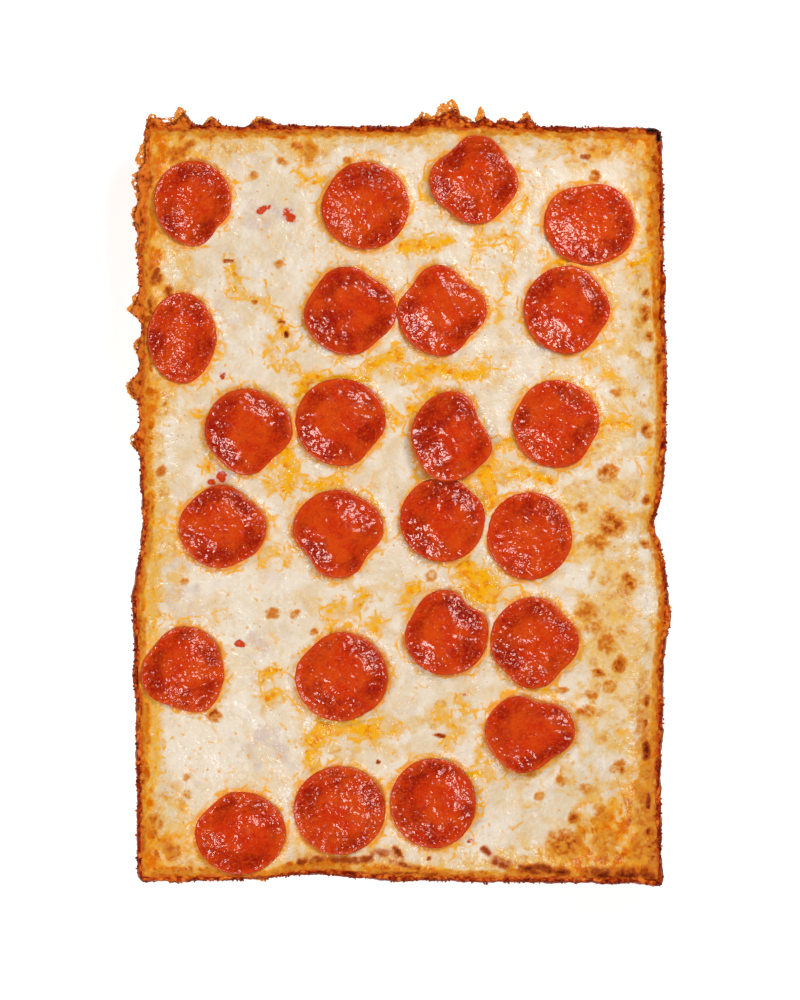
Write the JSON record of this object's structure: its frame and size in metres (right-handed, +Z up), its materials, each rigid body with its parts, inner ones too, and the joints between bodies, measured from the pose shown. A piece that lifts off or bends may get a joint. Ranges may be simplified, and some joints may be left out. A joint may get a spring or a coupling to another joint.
{
  "type": "rectangular pepperoni pan pizza",
  "caption": "Whole rectangular pan pizza with a thick crust, a thin wall of browned cheese round its edge, a melted cheese top and separate slices of pepperoni.",
  "frame": {"origin": "on the surface that the pizza stands on, under the middle of its box", "axes": "+Z up, +Y along the long sides towards the end with the tallest tufts of fried cheese, +X across"},
  "size_m": [0.2476, 0.3564, 0.036],
  "materials": {
    "crust": "craggy browned bread and fried cheese, slightly greasy",
    "cheese": "soft satin melted cheese with oily streaks",
    "pepperoni": "greasy gloss, finely bumpy"
  },
  "bodies": {
    "root": {"crust": "crust", "cheese": "cheese", "pepperoni_01": "pepperoni", "pepperoni_02": "pepperoni", "pepperoni_03": "pepperoni", "pepperoni_04": "pepperoni", "pepperoni_05": "pepperoni", "pepperoni_06": "pepperoni", "pepperoni_07": "pepperoni", "pepperoni_08": "pepperoni", "pepperoni_09": "pepperoni", "pepperoni_10": "pepperoni", "pepperoni_11": "pepperoni", "pepperoni_12": "pepperoni", "pepperoni_13": "pepperoni", "pepperoni_14": "pepperoni", "pepperoni_15": "pepperoni", "pepperoni_16": "pepperoni", "pepperoni_17": "pepperoni", "pepperoni_18": "pepperoni", "pepperoni_19": "pepperoni", "pepperoni_20": "pepperoni", "pepperoni_21": "pepperoni", "pepperoni_22": "pepperoni", "pepperoni_23": "pepperoni", "pepperoni_24": "pepperoni"}
  },
  "joints": []
}
